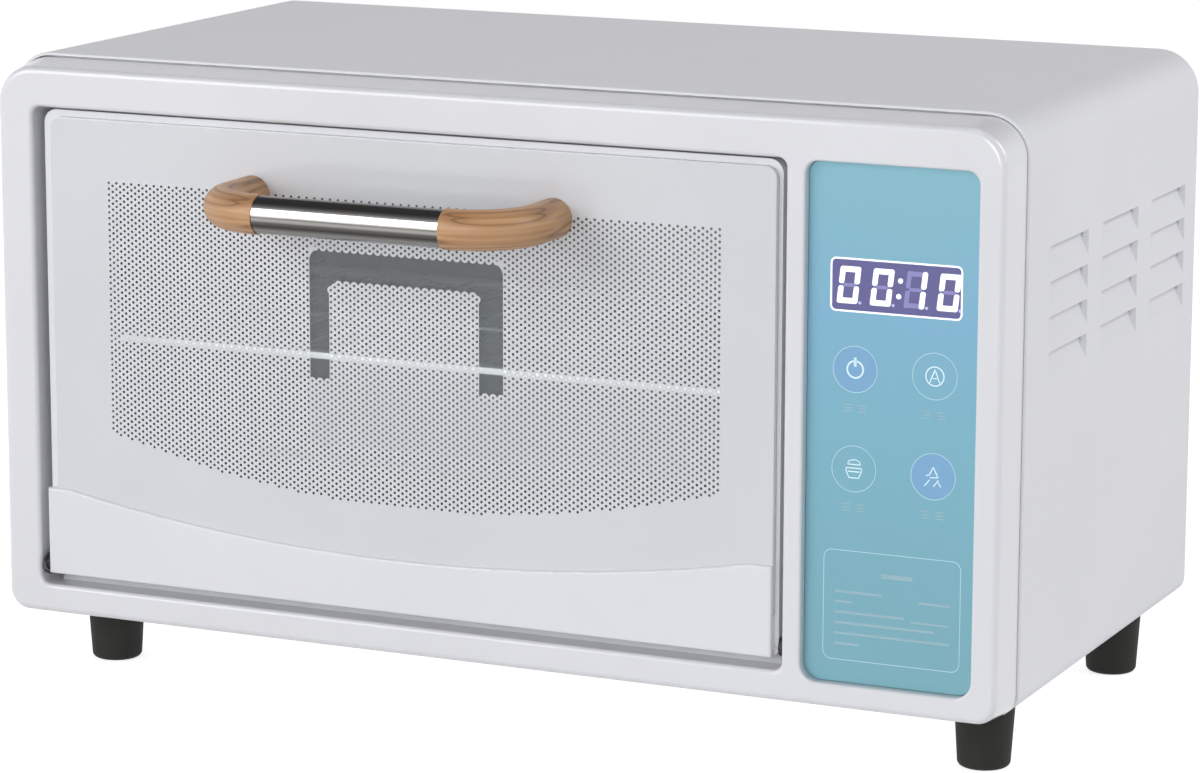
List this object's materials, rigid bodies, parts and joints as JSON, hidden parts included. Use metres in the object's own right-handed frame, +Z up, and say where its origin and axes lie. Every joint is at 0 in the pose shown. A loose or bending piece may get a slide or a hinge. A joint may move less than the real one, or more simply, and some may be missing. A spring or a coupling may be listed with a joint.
{
  "type": "countertop dry heat sterilizer",
  "caption": "Boxy white countertop hot-air cabinet with a drop-down glass door, bar handle, touch panel, inner heaters and a sliding wire rack.",
  "frame": {"origin": "under the middle of the whole box, on the bench plane under the feet", "axes": "+X to the right seen from the front, +Y into the cabinet towards its back, +Z up"},
  "size_m": [0.382, 0.2454, 0.2215],
  "materials": {
    "white_plastic": "satin moulded white",
    "white_enamel": "white powder coat, fine texture",
    "door_plastic": "satin moulded white",
    "pane_glass": "clear tempered pane with a white fired border and dot print",
    "panel_film": "teal-blue printed touch panel, glossy",
    "galvanised": "bare galvanised sheet",
    "liner_steel": "aluminised sheet",
    "bar_steel": "polished stainless tube",
    "wood": "oiled light wood, fine grain",
    "foot_rubber": "matte black",
    "black_plastic": "matte black",
    "rack_chrome": "bright plated wire",
    "screw_steel": "zinc plated",
    "heater_metal": "oxidised tube",
    "ceramic": "unglazed",
    "mineral_wool": "felted mineral fibre",
    "board_green": "circuit board laminate",
    "component_black": "moulded component bodies",
    "terminal_green": "moulded terminal block",
    "silicone": "pale silicone",
    "spring_steel": "dark spring wire"
  },
  "bodies": {
    "cabinet": {"front_bezel": "white_plastic", "bezel_screws": "screw_steel", "outer_shell": "white_enamel", "front_frame": "galvanised", "base_pan": "galvanised", "rear_panel": "white_enamel", "rear_panel_screws": "screw_steel", "base_screws": "screw_steel", "foot_front_left": "foot_rubber", "foot_front_right": "foot_rubber", "foot_rear_left": "foot_rubber", "foot_rear_right": "foot_rubber", "foot_screws": "screw_steel", "liner_left": "liner_steel", "liner_right": "liner_steel", "liner_top": "liner_steel", "liner_bottom": "liner_steel", "liner_back": "liner_steel", "heater_lower_front": "heater_metal", "heater_lower_rear": "heater_metal", "heater_upper_front": "heater_metal", "heater_upper_rear": "heater_metal", "heater_insulators": "ceramic", "insulation_left": "mineral_wool", "insulation_right": "mineral_wool", "insulation_top": "mineral_wool", "insulation_back": "mineral_wool", "rack_runner_left": "liner_steel", "rack_runner_right": "liner_steel", "temperature_probe": "bar_steel", "thermal_cutout": "component_black", "heat_baffle": "galvanised", "board_standoffs": "black_plastic", "power_board": "board_green", "transformer": "component_black", "relay": "component_black", "terminal_block": "terminal_green", "control_panel": "panel_film", "display_board": "board_green", "display_module": "component_black", "touch_springs": "spring_steel", "display_board_screws": "screw_steel", "cord_gland": "black_plastic", "hinge_bracket_left": "galvanised", "hinge_bracket_right": "galvanised", "hinge_washers": "black_plastic", "hinge_spring_wire": "spring_steel"},
    "door": {"door_frame": "door_plastic", "glass_bond_strip": "silicone", "door_glass": "pane_glass", "door_trim": "door_plastic", "trim_screws": "screw_steel", "door_gasket": "silicone", "handle_bar": "bar_steel", "handle_grip_left": "wood", "handle_grip_right": "wood", "handle_screws": "screw_steel", "hinge_pin_left": "bar_steel", "hinge_pin_right": "bar_steel"},
    "rack": {"wire_rack": "rack_chrome"}
  },
  "joints": [
    {"name": "door_hinge", "type": "hinge", "parent": "cabinet", "child": "door", "pos_m": [-0.0318, -0.07585, 0.038], "axis": [1, 0, 0], "range_deg": [0, 80]},
    {"name": "rack_slide", "type": "slide", "parent": "cabinet", "child": "rack", "axis": [0, -1, 0], "range_m": [0, 0.07]}
  ],
  "couplings": [
    {"joint": "rack_slide", "follows": "door_hinge", "m_per_rad": 0.05}
  ]
}
